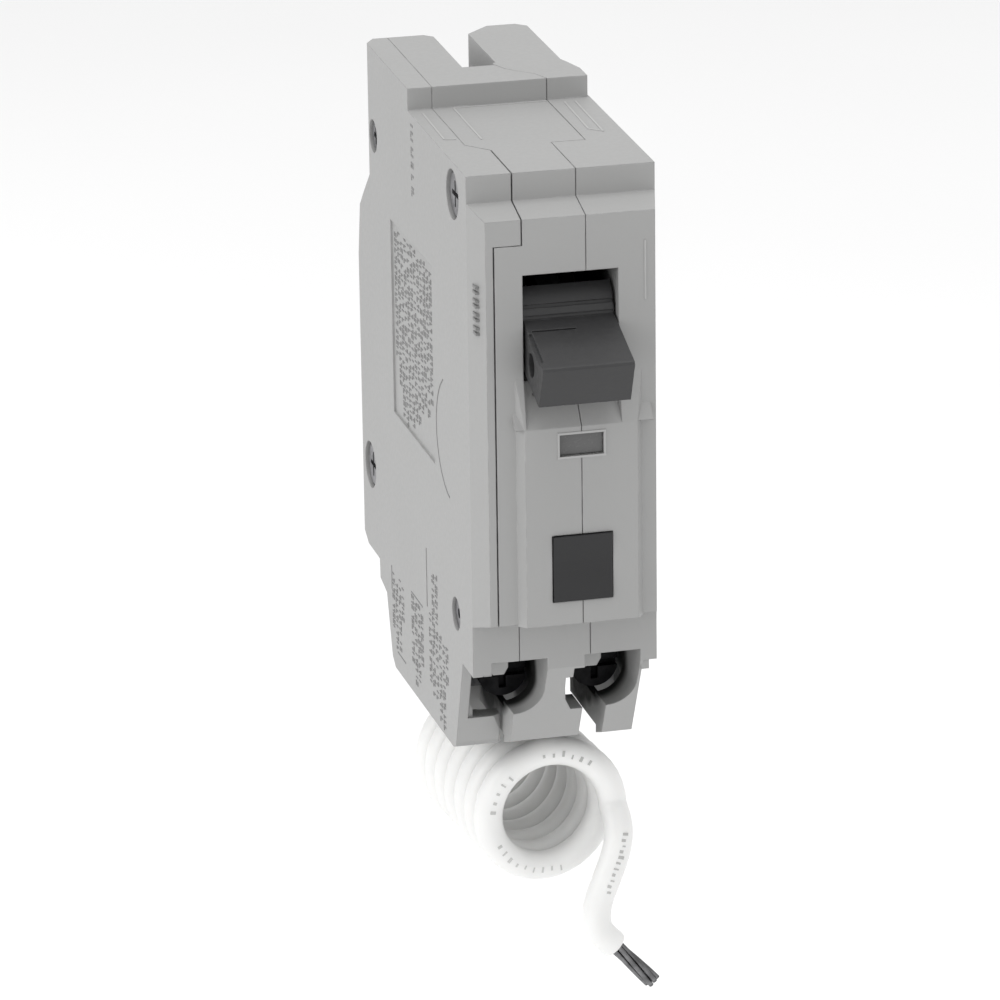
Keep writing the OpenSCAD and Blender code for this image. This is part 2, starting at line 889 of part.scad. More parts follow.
module arc_plates() {
    for (k = [0:2])
        front(19.2 + 2.6 * k, 20.2 + 2.6 * k)
            polygon([
                [-0.9, -12.4], [-0.9, -1.7], [10.6, -1.7], [10.6, -12.4], [7.4, -12.4],
                [7.4, -3.1], [2.4, -3.1], [2.4, -12.4]
            ]);
}

module cradle() {
    difference() {
        side(6.8, 8.2)
            polygon([
                [17.8, -24.5], [19, -22], [21.4, -22], [30, -27], [41, -30], [47.2, -33],
                [47.2, -34.6], [40, -33], [29, -31], [21, -27], [18.6, -26.8]
            ]);
        rod_x(0, 20, cradle_y, cradle_z, 1 + bore_gap, 32);
    }
}

module cradle_pin() {
    rod_x(6.2, in_r, cradle_y, cradle_z, 1, 32);
}

module armature() {
    difference() {
        union() {
            box(5.4, 9.8, 48.2, 49.2, -51, -32);
            rod_x(5.4, 9.8, armature_y, armature_z, 1.7, 32);
            // ledge that holds the cradle tip
            box(6.2, 8.8, 47.4, 48.3, -36, -34.7);
        }
        rod_x(0, 20, armature_y, armature_z, 0.8 + bore_gap, 32);
    }
}

module armature_pin() {
    rod_x(wall_r, in_r, armature_y, armature_z, 0.8, 32);
}

module magnet_yoke() {
    difference() {
        box(4, 10.6, 53, 59, -46, -37);
        box(5.2, 9.4, 52, 57.8, -47, -36);
    }
}

module bimetal() {
    box(6, 8.6, 54.4, 55.4, -69, -35.5);
    box(4.6, 10, 54.4, 61.5, -69.3, -68);
}

module calibration_screw() {
    difference() {
        union() {
            rod_y(56, 62, 7.3, -63.5, 1.2, 32);
            rod_y(60.6, 62, 7.3, -63.5, 2, 32);
        }
        box(5, 9, 61.4, 63, -63.8, -63.2);
    }
}

module flexible_braid() {
    wire(rounded([
        [9.6, 16, -36], [9.6, 20, -42], [9.8, 30, -48], [10, 42, -56], [9.8, 50, -62], [9.4, 53.6, -66.4]
    ], 3), 0.8, 8);
}

// ---------- terminals and conductors ----------

module terminal_plate(x) {
    difference() {
        union() {
            box(x - 3.9, x + 3.9, plate_front, plate_back, -77, -68.4);
            box(x - 2.2, x + 2.2, plate_back - eps, plate_back + 1.2, -76, -69);
            box(x - 1.5, x + 1.5, plate_back, 26, -70.2, -69);
        }
        rod_y(15, 30, x, lug_z, screw_r + bore_gap);
    }
}

module clamp_plate(x) {
    difference() {
        box(x - 3.7, x + 3.7, clamp_front, clamp_front + clamp_t, -75.4, -69);
        rod_y(5, 20, x, lug_z, screw_r + bore_gap);
    }
}

module terminal_screw(x) {
    difference() {
        union() {
            rod_y(head_front, clamp_front, x, lug_z, 3.3, 48);
            rod_y(head_front + 1, plate_back + 1.4, x, lug_z, screw_r);
        }
        box(x - 4, x + 4, head_front - 1, head_front + 1.2, lug_z - 0.5, lug_z + 0.5);
        box(x - 0.5, x + 0.5, head_front - 1, head_front + 1.2, lug_z - 2.2, lug_z + 2.2);
    }
}

module load_terminal() {
    terminal_plate(load_x);
}

module load_clamp() {
    clamp_plate(load_x);
}

module load_screw() {
    terminal_screw(load_x);
}

module neutral_terminal() {
    terminal_plate(neutral_x);
}

module neutral_clamp() {
    clamp_plate(neutral_x);
}

module neutral_screw() {
    terminal_screw(neutral_x);
}

module load_conductor() {
    wire(rounded([
        [5.4, 54.4, -68.65], [5.4, 51.6, -68.65], [1.6, 51.6, -58], [0.2, 52.4, -46],
        [0, 50, -36], [-1.5, 44.6, -31.4], [-5, 43, -31.6], [-8.4, 43, -32.4],
        [-10.6, 42.4, -33.2], [-10.6, 40, -36], [-10.6, 39.4, -42], [-10.6, 37, -52],
        [-9.5, 33, -61], [-5, 27.4, -64.9], [0.5, 25.4, -64.9], [5, 25, -64.6],
        [6.6, 24.9, -66], [6.6, 24.9, -69]
    ], 3), 0.75, 8);
}

module neutral_conductor() {
    wire(rounded([
        [neutral_x, 24.9, -69], [neutral_x, 24.9, -66], [-7, 29, -58], [-8.2, 37, -56],
        [-8.4, 44, -51], [-10.6, 46.6, -42], [-10.6, 46.6, -36], [-10.6, 45.4, -33],
        [-8, 45.2, -32.4], [-5.2, 45, -32.2], [-3.8, 45, -32.6], [-3.8, 45.4, -36],
        [-3.85, 45.2, -42], [-3.9, 44.6, -56],
        [-5.4, 43.4, -70], gland - 3 * gland_dir, gland
    ], 3), 0.75, 8);
}

// ---------- electronics ----------

module circuit_board() {
    difference() {
        side(-10.9, -9.9)
            polygon([
                [14.6, -16], [35.6, -16], [35.6, -47.6], [17, -47.6], [14.6, -44]
            ]);
        for (p = board_holes)
            rod_x(-12, -9, p[0], p[1], 0.9, 24);
    }
}

module control_chip() {
    box(-9.85, -7.9, 20, 24, -27, -18.6);
    for (k = [0:3])
        for (y = [18.9, 24])
            box(-9.8, -9.4, y, y + 1.1, -26.4 + 2 * k, -25.8 + 2 * k);
}

module capacitors() {
    rod_z(-43, -35.4, -6.7, 18.6, 3, 40);
    rod_z(-43, -36.6, -6.9, 25.6, 2.6, 40);
    box(-9.8, -5.2, 27.2, 33.8, -24.6, -19);
}

module resistors() {
    for (k = [0:3])
        rod_z(-33, -28.6, -8.8, 17.4 + 2.9 * k, 0.85, 24);
}

module varistor() {
    rod_x(-9.8, -6.8, 32, -39.6, 3.6, 40);
}

module thyristor() {
    box(-9.8, -5.6, 29.6, 34, -32.4, -28);
    box(-6.2, -5.6, 29.6, 34, -28, -26.4);
}

module core_ring(x0, x1) {
    difference() {
        rod_x(x0, x1, 44, -32, 7.8, 56);
        rod_x(x0 - 1, x1 + 1, 44, -32, 3.8, 48);
    }
}

module fault_core() {
    core_ring(-9.4, -7.2);
}

module neutral_core() {
    core_ring(-7, -4.8);
}

module solenoid_frame() {
    difference() {
        box(-10.6, -3.4, 50, 61, solenoid_z - 4, solenoid_z + 4);
        box(-10.4, -2, 51, 60, solenoid_z - 5, solenoid_z + 5);
        rod_y(49, 62, solenoid_x, solenoid_z, 1.45, 32);
    }
}

module solenoid_coil() {
    difference() {
        rod_y(51.2, 59.8, solenoid_x, solenoid_z, 3.3, 40);
        rod_y(50, 61, solenoid_x, solenoid_z, 1.5, 32);
    }
}

// plunger with the finger that reaches through the wall to the armature
module solenoid_plunger() {
    rod_y(46.4, 58, solenoid_x, solenoid_z, 1.4, 32);
    box(solenoid_x, 9, 47.05, 48.1, solenoid_z - 0.9, solenoid_z + 0.9);
}

// ---------- pigtail ----------

module coil_frame() {
    translate([coil_x0, coil_y0, coil_z])
        rotate([0, 0, coil_turn])
            rotate([-90, 0, 0])
                children();
}

function on_coil(a, r, d) =
    let (x = r * cos(a), z = r * sin(a))
    [
        coil_x0 + x * cos(coil_turn) - d * sin(coil_turn),
        coil_y0 + x * sin(coil_turn) + d * cos(coil_turn),
        coil_z + z
    ];

// end of the straight length and its direction
tail = on_coil(join_angle, coil_r, coil_len - wire_d / 2);
gland_dir = unit(tail - gland);

module pigtail_coil() {
    outer = coil_r + wire_d / 2;
    inner = coil_r - wire_d / 2;
    coil_frame()
        rotate_extrude($fn = 48)
            translate([inner, 0])
                square([outer - inner, coil_len]);
}

// from the gland straight down to the last turn of the coil
module pigtail_lead_in() {
    wire([gland, 0.65 * gland + 0.35 * tail, 0.3 * gland + 0.7 * tail, tail], wire_d / 2, 12);
}

module pigtail_lead_out() {
    wire(rounded([
        on_coil(0, coil_r, wire_d / 2), [10.8, 12.6, -98], [10.2, 11.9, -101.2],
        [8.6, 11.6, -105.2], [7.1, 11.6, -109], [7.2, 11.7, -112.6], [9.6, 11.9, -115.2]
    ], 4), wire_d / 2, 12);
}

module pigtail_strands() {
    wire([
        [9.6, 11.9, -115.2], [11.52, 12.06, -117.28], [15.6, 12.2, -121.8]
    ], 1.15, 10);
}

// ---------- placed parts ----------

color(light_grey) at_mount() left_cover();
color(light_grey) at_mount() center_frame();
color(light_grey) at_mount() right_base();
color(steel) at_mount() case_screws();
color(steel) at_mount() case_rivet();
color(near_black) at_mount() handle();
color(steel) at_mount() handle_pin();
color(near_black) at_mount() test_button();
color(copper) at_mount() test_leaf();
color(dark_grey) at_mount() indicator_lens();
color(white) at_mount() trip_flag();
color(steel) at_mount() flag_pin();
color(copper) at_mount() line_jaw();
color(steel) at_mount() jaw_spring();
color(copper) at_mount() line_strap();
color(silver) at_mount() fixed_contact();
color(copper) at_mount() contact_arm();
color(silver) at_mount() moving_contact();
color(steel) at_mount() arm_pin();
color(steel) at_mount() toggle_spring();
color(steel) at_mount() arc_plates();
color(steel) at_mount() cradle();
color(steel) at_mount() cradle_pin();
color(steel) at_mount() armature();
color(steel) at_mount() armature_pin();
color(steel) at_mount() magnet_yoke();
color(steel) at_mount() bimetal();
color(steel) at_mount() calibration_screw();
color(copper) at_mount() flexible_braid();
color(near_black) at_mount() load_conductor();
color(silver) at_mount() load_terminal();
color(silver) at_mount() load_clamp();
color(steel) at_mount() load_screw();
color(silver) at_mount() neutral_terminal();
color(silver) at_mount() neutral_clamp();
color(steel) at_mount() neutral_screw();
color(white) at_mount() neutral_conductor();
color(green) at_mount() circuit_board();
color(near_black) at_mount() control_chip();
color(dark_grey) at_mount() capacitors();
color(copper) at_mount() resistors();
color(copper) at_mount() varistor();
color(near_black) at_mount() thyristor();
color(dark_grey) at_mount() fault_core();
color(dark_grey) at_mount() neutral_core();
color(steel) at_mount() solenoid_frame();
color(copper) at_mount() solenoid_coil();
color(steel) at_mount() solenoid_plunger();
color(white) at_mount() pigtail_lead_in();
color(white) at_mount() pigtail_coil();
color(white) at_mount() pigtail_lead_out();
color(silver) at_mount() pigtail_strands();
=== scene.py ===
import math
import random

import bmesh
import bpy
from mathutils import Matrix, Vector


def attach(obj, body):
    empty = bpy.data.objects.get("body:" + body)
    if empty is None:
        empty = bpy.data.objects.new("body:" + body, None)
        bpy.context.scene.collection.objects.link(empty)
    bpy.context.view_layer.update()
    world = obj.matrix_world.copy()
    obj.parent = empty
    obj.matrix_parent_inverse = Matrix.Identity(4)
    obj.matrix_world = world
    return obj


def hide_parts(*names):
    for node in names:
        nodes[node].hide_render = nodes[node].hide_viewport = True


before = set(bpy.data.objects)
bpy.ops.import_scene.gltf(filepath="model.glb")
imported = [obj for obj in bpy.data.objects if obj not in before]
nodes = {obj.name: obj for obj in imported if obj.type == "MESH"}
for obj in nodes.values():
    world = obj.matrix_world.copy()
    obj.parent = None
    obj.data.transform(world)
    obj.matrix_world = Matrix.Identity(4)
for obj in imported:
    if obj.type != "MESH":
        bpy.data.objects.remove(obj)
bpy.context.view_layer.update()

MM = 0.001

# Places are given in millimetres as in the CAD source: x to the right, y back from the
# front shoulder, z up from the top shoulder. The record's origin is the back face.
CASE_DEPTH = 65
MOUNT_DROP = 45
HALF_WIDTH = 12.7


def at(x, y, z):
    return Vector((x, y - CASE_DEPTH, z + MOUNT_DROP)) * MM


# ---------- camera ----------

AIM = at(-12.2, -14.1, -39.6)
AZIMUTH = math.radians(-13.95)
ELEVATION = math.radians(18.58)
ROLL = math.radians(-0.80)
DISTANCE = 711.2 * MM
LENS = 198


def add_camera():
    back = Vector((
        math.sin(AZIMUTH) * math.cos(ELEVATION),
        -math.cos(AZIMUTH) * math.cos(ELEVATION),
        math.sin(ELEVATION),
    ))
    right = Vector((math.cos(AZIMUTH), math.sin(AZIMUTH), 0))
    up = back.cross(right)
    turned_right = right * math.cos(ROLL) + up * math.sin(ROLL)
    turned_up = up * math.cos(ROLL) - right * math.sin(ROLL)
    matrix = Matrix((turned_right, turned_up, back)).transposed().to_4x4()
    matrix.translation = AIM + back * DISTANCE
    data = bpy.data.cameras.new("camera")
    data.sensor_width = 36
    data.lens = LENS
    data.clip_start = 0.05
    data.clip_end = 20
    camera = bpy.data.objects.new("camera", data)
    camera.matrix_world = matrix
    bpy.context.scene.collection.objects.link(camera)
    bpy.context.scene.camera = camera


add_camera()

# ---------- procedural materials ----------


def new_material(name):
    material = bpy.data.materials.new(name)
    material.use_nodes = True
    tree = material.node_tree
    shader = tree.nodes["Principled BSDF"]
    place = tree.nodes.new("ShaderNodeTexCoord")
    return material, tree, shader, place.outputs["Object"]


def noise(tree, where, scale, detail=3, rough=0.5):
    node = tree.nodes.new("ShaderNodeTexNoise")
    node.inputs["Scale"].default_value = scale
    node.inputs["Detail"].default_value = detail
    node.inputs["Roughness"].default_value = rough
    tree.links.new(where, node.inputs["Vector"])
    return node.outputs["Fac"]


def ramp(tree, fac, stops):
    """stops: (position, grey or colour) pairs."""
    node = tree.nodes.new("ShaderNodeValToRGB")
    elements = node.color_ramp.elements
    while len(elements) < len(stops):
        elements.new(0.5)
    for element, (position, value) in zip(elements, stops):
        element.position = position
        colour = (value,) * 3 if isinstance(value, (int, float)) else value
        element.color = (*colour, 1)
    tree.links.new(fac, node.inputs["Fac"])
    return node.outputs["Color"]


def mix(tree, fac, a, b):
    node = tree.nodes.new("ShaderNodeMix")
    node.data_type = "RGBA"
    for socket, value in (("Factor", fac), ("A", a), ("B", b)):
        slot = next(
            s for s in node.inputs
            if s.name == socket and (s.type == "VALUE" if socket == "Factor" else s.type == "RGBA")
        )
        if isinstance(value, (int, float)):
            slot.default_value = value
        elif isinstance(value, tuple):
            slot.default_value = (*value, 1)
        else:
            tree.links.new(value, slot)
    return next(s for s in node.outputs if s.type == "RGBA")


def times(tree, a, b):
    node = tree.nodes.new("ShaderNodeMath")
    node.operation = "MULTIPLY"
    for socket, value in zip(node.inputs, (a, b)):
        if isinstance(value, (int, float)):
            socket.default_value = value
        else:
            tree.links.new(value, socket)
    return node.outputs["Value"]


def rounded_normal(tree, radius):
    """The normal that the surface would have with its edges rounded by radius metres."""
    bevel = tree.nodes.new("ShaderNodeBevel")
    bevel.samples = 4
    bevel.inputs["Radius"].default_value = radius
    return bevel.outputs["Normal"]


def edge_rim(tree, width):
    """1 along edges, 0 on flats: how far the rounded normal leans from the true one."""
    geometry = tree.nodes.new("ShaderNodeNewGeometry")
    lean = tree.nodes.new("ShaderNodeVectorMath")
    lean.operation = "DOT_PRODUCT"
    tree.links.new(rounded_normal(tree, max(width, 0.01 * MM)), lean.inputs[0])
    tree.links.new(geometry.outputs["Normal"], lean.inputs[1])
    return ramp(tree, lean.outputs["Value"], [(0.8, 1.0), (0.99, 0.0)])


# Painted shade inside the openings, as dark spots: middle, full radius and fading radius in
# millimetres.
OPENING_SHADE_SPOTS = [
    # handle chamber
    ((0, 8, -16), 7.5, 11.5),
    # terminal channels and the walls below their screws, left and right in turn
    ((-5.8, 11, -72.3), 5.2, 6.6),
    ((6.0, 11, -72.3), 5.2, 6.6),
    ((-4.9, 18, -76.2), 4.2, 6),
    ((6.3, 18, -76.2), 4.2, 6),
    ((-3.4, 13.6, -76.6), 3.2, 4.2),
    ((8.4, 13.6, -76.6), 3, 4),
]


def opening_shade(tree, where):
    """Painted shade mask: 1 in the handle chamber and the two terminal channels, 0 outside."""
    total = None
    for middle, full, fade in OPENING_SHADE_SPOTS:
        away = tree.nodes.new("ShaderNodeVectorMath")
        away.operation = "DISTANCE"
        away.inputs[1].default_value = at(*middle)
        tree.links.new(where, away.inputs[0])
        reach = tree.nodes.new("ShaderNodeMapRange")
        reach.inputs["From Min"].default_value = fade * MM
        reach.inputs["From Max"].default_value = full * MM
        tree.links.new(away.outputs["Value"], reach.inputs["Value"])
        if total is None:
            total = reach.outputs["Result"]
        else:
            more = tree.nodes.new("ShaderNodeMath")
            more.operation = "MAXIMUM"
            tree.links.new(total, more.inputs[0])
            tree.links.new(reach.outputs["Result"], more.inputs[1])
            total = more.outputs["Value"]
    return total


def finish_surface(tree, shader, where, grain, height, round_edge):
    """Fine bump, over edges rounded by round_edge metres unless that is 0."""
    bump = tree.nodes.new("ShaderNodeBump")
    bump.inputs["Strength"].default_value = 0.6
    bump.inputs["Distance"].default_value = height
    tree.links.new(noise(tree, where, grain, 4, 0.6), bump.inputs["Height"])
    if round_edge > 0:
        tree.links.new(rounded_normal(tree, round_edge), bump.inputs["Normal"])
    tree.links.new(bump.outputs["Normal"], shader.inputs["Normal"])


# Painted shade for the openings: a near-black colour and how fully it covers the surface colour.
OPENING_SHADE_COLOUR = (0.004, 0.004, 0.004)
OPENING_SHADE_STRENGTH = 0.97


def moulded(name, colour, rough, grain=3200, height=0.02 * MM, rub_highlight=0.35, round_edge=0.25 * MM,
            spread=0.012, shade_openings=False):
    """Moulded plastic: clouded colour, lighter edges that are partly rubbed wear and partly
    painted highlight, fine spark-eroded grain, optional painted shade in the openings.
    """
    material, tree, shader, where = new_material(name)
    dark = tuple(c * (1 - spread) for c in colour)
    light = tuple(min(1, c * (1 + spread)) for c in colour)
    clouds = ramp(tree, noise(tree, where, 60, 3), [(0.3, dark), (0.7, light)])
    # Lighter edges: partly rubbed wear, partly painted edge highlight.
    rub_highlight_colour = tuple(min(1, c * 1.5 + 0.08) for c in colour)
    patches = ramp(tree, noise(tree, where, 420, 2), [(0.45, 0.0), (0.7, 1.0)])
    rim = edge_rim(tree, round_edge)
    rub_highlight_amount = times(tree, times(tree, rim, patches), rub_highlight)
    base = mix(tree, rub_highlight_amount, clouds, rub_highlight_colour)
    # painted shade: the surface colour goes near-black in the handle chamber and terminal channels
    if shade_openings:
        base = mix(tree, times(tree, opening_shade(tree, where), OPENING_SHADE_STRENGTH), base, OPENING_SHADE_COLOUR)
    tree.links.new(base, shader.inputs["Base Color"])
    gloss = ramp(tree, noise(tree, where, 1500, 3), [(0.3, rough - 0.05), (0.7, rough + 0.05)])
    tree.links.new(gloss, shader.inputs["Roughness"])
    shader.inputs["Specular IOR Level"].default_value = 0.4
    finish_surface(tree, shader, where, grain, height, round_edge)
    return material


def metal(name, colour, rough, grain=2400, tarnish=0.25, round_edge=0.08 * MM):
    """Plated or bare metal with a fine grain and a little tarnish."""
    material, tree, shader, where = new_material(name)
    dull = tuple(c * (1 - tarnish) for c in colour)
    stains = ramp(tree, noise(tree, where, 500, 5), [(0.35, dull), (0.62, colour)])
    tree.links.new(stains, shader.inputs["Base Color"])
    gloss = ramp(tree, noise(tree, where, grain, 4), [(0.3, rough - 0.1), (0.7, rough + 0.12)])
    tree.links.new(gloss, shader.inputs["Roughness"])
    shader.inputs["Metallic"].default_value = 1.0
    finish_surface(tree, shader, where, grain, 0.01 * MM, round_edge)
    return material


def jacket(name, colour, rough):
    """Extruded wire insulation: smooth and slightly cloudy."""
    material, tree, shader, where = new_material(name)
    dark = tuple(c * 0.95 for c in colour)
    clouds = ramp(tree, noise(tree, where, 120, 3), [(0.35, dark), (0.65, colour)])
    tree.links.new(clouds, shader.inputs["Base Color"])
    gloss = ramp(tree, noise(tree, where, 500, 3), [(0.3, rough - 0.05), (0.7, rough + 0.08)])
    tree.links.new(gloss, shader.inputs["Roughness"])
    shader.inputs["Subsurface Weight"].default_value = 0.08
    shader.inputs["Subsurface Radius"].default_value = (1.0, 0.9, 0.8)
    shader.inputs["Subsurface Scale"].default_value = 0.6 * MM
    finish_surface(tree, shader, where, 900, 0.012 * MM, 0)
    return material


def board_green(name):
    """Circuit board: green lacquer over a grid of traces."""
    material, tree, shader, where = new_material(name)
    traces = tree.nodes.new("ShaderNodeTexBrick")
    traces.inputs["Scale"].default_value = 260
    traces.inputs["Mortar Size"].default_value = 0.03
    traces.inputs["Color1"].default_value = (0.015, 0.13, 0.05, 1)
    traces.inputs["Color2"].default_value = (0.02, 0.17, 0.07, 1)
    traces.inputs["Mortar"].default_value = (0.04, 0.28, 0.11, 1)
    swap = tree.nodes.new("ShaderNodeMapping")
    swap.inputs["Rotation"].default_value = (0, math.radians(90), 0)
    tree.links.new(where, swap.inputs["Vector"])
    tree.links.new(swap.outputs["Vector"], traces.inputs["Vector"])
    tree.links.new(traces.outputs["Color"], shader.inputs["Base Color"])
    gloss = ramp(tree, noise(tree, where, 600, 3), [(0.3, 0.28), (0.7, 0.4)])
    tree.links.new(gloss, shader.inputs["Roughness"])
    finish_surface(tree, shader, where, 1800, 0.01 * MM, 0.06 * MM)
    return material


CASE_GREY = (0.335, 0.335, 0.332)
# case plastic with painted shade in the handle chamber and terminal channels, and painted edge
# highlights
case_plastic = moulded("case_plastic", CASE_GREY, 0.5, rub_highlight=0.6, shade_openings=True)
# Darker grey marks: painted shade on the small raised relief.
shaded_mark_plastic = moulded("shaded_mark_plastic", tuple(c * 0.62 for c in CASE_GREY), 0.6, rub_highlight=0,
                       round_edge=0)
# Lighter grey rims and lines: painted highlight along raised edges.
highlight_rim_plastic = moulded("highlight_rim_plastic", tuple(c * 1.2 for c in CASE_GREY), 0.45, rub_highlight=0.3,
                      round_edge=0.05 * MM)
print_ink = moulded("print_ink", (0.5, 0.5, 0.49), 0.6, rub_highlight=0, round_edge=0, spread=0.2)
handle_plastic = moulded("handle_plastic", (0.034, 0.034, 0.035), 0.42, grain=2600, rub_highlight=0.5,
                         spread=0.1)
button_plastic = moulded("button_plastic", (0.016, 0.016, 0.017), 0.4, grain=2600, rub_highlight=0.2,
                         spread=0.15)
window_plastic = moulded("window_plastic", (0.12, 0.12, 0.12), 0.25, grain=1500,
                         height=0.006 * MM, rub_highlight=0.1, round_edge=0.1 * MM, spread=0.2)
flag_plastic = moulded("flag_plastic", (0.75, 0.74, 0.7), 0.4, rub_highlight=0.1)
body_black = moulded("body_black", (0.03, 0.03, 0.032), 0.5, rub_highlight=0.1, round_edge=0.1 * MM)
ferrite = moulded("ferrite", (0.06, 0.06, 0.065), 0.65, grain=1800, rub_highlight=0.2, round_edge=0.15 * MM)
ceramic = moulded("ceramic", (0.42, 0.16, 0.05), 0.4, rub_highlight=0.1, round_edge=0.15 * MM)
resistor_body = moulded("resistor_body", (0.5, 0.4, 0.26), 0.45, rub_highlight=0.1, round_edge=0.1 * MM)
white_jacket = jacket("white_jacket", (0.84, 0.84, 0.83), 0.4)
black_jacket = jacket("black_jacket", (0.03, 0.03, 0.03), 0.36)
board = board_green("board")
zinc = metal("zinc", (0.56, 0.57, 0.58), 0.38)
dark_zinc = metal("dark_zinc", (0.28, 0.28, 0.29), 0.42, tarnish=0.4)
tin = metal("tin", (0.70, 0.70, 0.70), 0.34)
copper = metal("copper", (0.72, 0.38, 0.24), 0.34)
# Near-black copper: painted shade of the dark handle chamber where the contact arm sits.
chamber_shade_copper = metal("chamber_shade_copper", (0.03, 0.02, 0.016), 0.6)
black_steel = metal("black_steel", (0.02, 0.02, 0.021), 0.55, tarnish=0.5)
dull_tin = metal("dull_tin", (0.09, 0.09, 0.092), 0.5, tarnish=0.6)
silver = metal("silver", (0.82, 0.81, 0.78), 0.28)
strand_metal = metal("strand_metal", (0.22, 0.22, 0.225), 0.4, grain=1600, tarnish=0.5,
                     round_edge=0)

FINISH = {
    case_plastic: ["left_cover", "center_frame", "right_base"],
    dark_zinc: ["case_screws", "case_rivet"],
    black_steel: ["load_screw", "neutral_screw"],
    chamber_shade_copper: ["contact_arm"],
    handle_plastic: ["handle"],
    button_plastic: ["test_button"],
    window_plastic: ["indicator_lens"],
    flag_plastic: ["trip_flag"],
    zinc: [
        "handle_pin", "flag_pin", "jaw_spring", "arm_pin", "toggle_spring", "arc_plates",
        "cradle", "cradle_pin", "armature", "armature_pin", "magnet_yoke", "bimetal",
        "calibration_screw", "solenoid_frame", "solenoid_plunger",
    ],
    tin: ["line_jaw"],
    dull_tin: ["load_terminal", "load_clamp", "neutral_terminal", "neutral_clamp"],
    copper: ["test_leaf", "line_strap", "flexible_braid", "solenoid_coil"],
    silver: ["fixed_contact", "moving_contact"],
    board: ["circuit_board"],
    body_black: ["control_chip", "capacitors", "thyristor"],
    ceramic: ["varistor"],
    resistor_body: ["resistors"],
    ferrite: ["fault_core", "neutral_core"],
    white_jacket: ["neutral_conductor", "pigtail_lead_in", "pigtail_coil", "pigtail_lead_out"],
    black_jacket: ["load_conductor"],
    strand_metal: ["pigtail_strands"],
}
for material, names in FINISH.items():
    for name in names:
        mesh = nodes[name].data
        mesh.materials.clear()
        mesh.materials.append(material)

# ---------- mesh helpers ----------


def add_piece(name, mesh, material):
    """A new object on the case; none of the new pieces moves on its own."""
    mesh.materials.append(material)
    piece = bpy.data.objects.new(name, mesh)
    bpy.context.scene.collection.objects.link(piece)
    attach(piece, "case")
    return piece


def smooth(mesh):
    for polygon in mesh.polygons:
        polygon.use_smooth = True


def skin_rings(build, rings):
    """Faces between each ring of points and the next, and across both ends."""
    count = len(rings[0])
    for one, two in zip(rings, rings[1:]):
        for k in range(count):
            m = (k + 1) % count
            build.faces.new((one[k], one[m], two[m], two[k]))
    build.faces.new(rings[0][::-1])
    build.faces.new(rings[-1])


def tube(build, points, radius, sides=10):
    """Sweeps a round section along points and closes both ends."""
    count = len(points)
    rings = []
    across = None
    for i, point in enumerate(points):
        ahead = points[min(i + 1, count - 1)] - points[max(i - 1, 0)]
        ahead.normalize()
        if across is None:
            side = Vector((1, 0, 0)) if abs(ahead.x) < 0.9 else Vector((0, 1, 0))
            across = ahead.cross(side).normalized()
        across = (across - ahead * across.dot(ahead)).normalized()
        other = ahead.cross(across)
        rings.append([
            build.verts.new(point + radius * (
                across * math.cos(2 * math.pi * k / sides)
                + other * math.sin(2 * math.pi * k / sides)
            ))
            for k in range(sides)
        ])
    skin_rings(build, rings)


def bar(build, low, high, shrink=0.0):
    """A small raised bar; its outer face, towards -x, is drawn in by shrink on each side."""
    x0, y0, z0 = low
    x1, y1, z1 = high
    root = [(x1, y0, z0), (x1, y1, z0), (x1, y1, z1), (x1, y0, z1)]
    y0, y1, z0, z1 = y0 + shrink, y1 - shrink, z0 + shrink, z1 - shrink
    face = [(x0, y0, z0), (x0, y1, z0), (x0, y1, z1), (x0, y0, z1)]
    skin_rings(build, [[build.verts.new(at(*c)) for c in ring] for ring in (root, face)])


def finish_mesh(build, name):
    bmesh.ops.recalc_face_normals(build, faces=build.faces)
    mesh = bpy.data.meshes.new(name)
    build.to_mesh(mesh)
    build.free()
    return mesh


# ---------- the coiled pigtail ----------

WIRE_D = 4
# the coil's radius at the wire's middle, the middle of its front end, how far its axis is
# turned from straight back, and its length
COIL_R = 8.8
COIL_X = 2
COIL_Y = 12.4
COIL_Z = -95.6
COIL_TURN = math.radians(6)
COIL_LEN = 32.8
# depths of the first and last turn's centreline
COIL_FRONT = WIRE_D / 2
COIL_REAR = COIL_LEN - WIRE_D / 2
# where round the coil the lead-in meets it, in degrees
JOIN_ANGLE = 45
TURNS = 7 + JOIN_ANGLE / 360
TURN_STEPS = 40
GLAND = (-3.6, 43.1, -81.2)


def on_coil(angle, radius, depth):
    """A place in the coil: degrees round it, distance from its axis, depth from its front."""
    across = radius * math.cos(math.radians(angle))
    return at(
        COIL_X + across * math.cos(COIL_TURN) - depth * math.sin(COIL_TURN),
        COIL_Y + across * math.sin(COIL_TURN) + depth * math.cos(COIL_TURN),
        COIL_Z + radius * math.sin(math.radians(angle)),
    )


def rounded(points, steps=5):
    """Points along a chain of short quadratic curves that rounds the route's corners."""
    out = [points[0]]
    for a, b, c in zip(points, points[1:], points[2:]):
        start, end = (a + b) / 2, (b + c) / 2
        for k in range(steps + 1):
            t = k / steps
            spot = start * (1 - t) ** 2 + b * 2 * t * (1 - t) + end * t ** 2
            if (spot - out[-1]).length > 0.05 * MM:
                out.append(spot)
    out.append(points[-1])
    return out


# places of the lead-out after the coil's last turn
LEAD_OUT = [
    at(10.8, 12.6, -98), at(10.2, 11.9, -101.2), at(8.6, 11.6, -105.2), at(7.1, 11.6, -109),
    at(7.2, 11.7, -112.6), at(9.6, 11.9, -115.2),
]


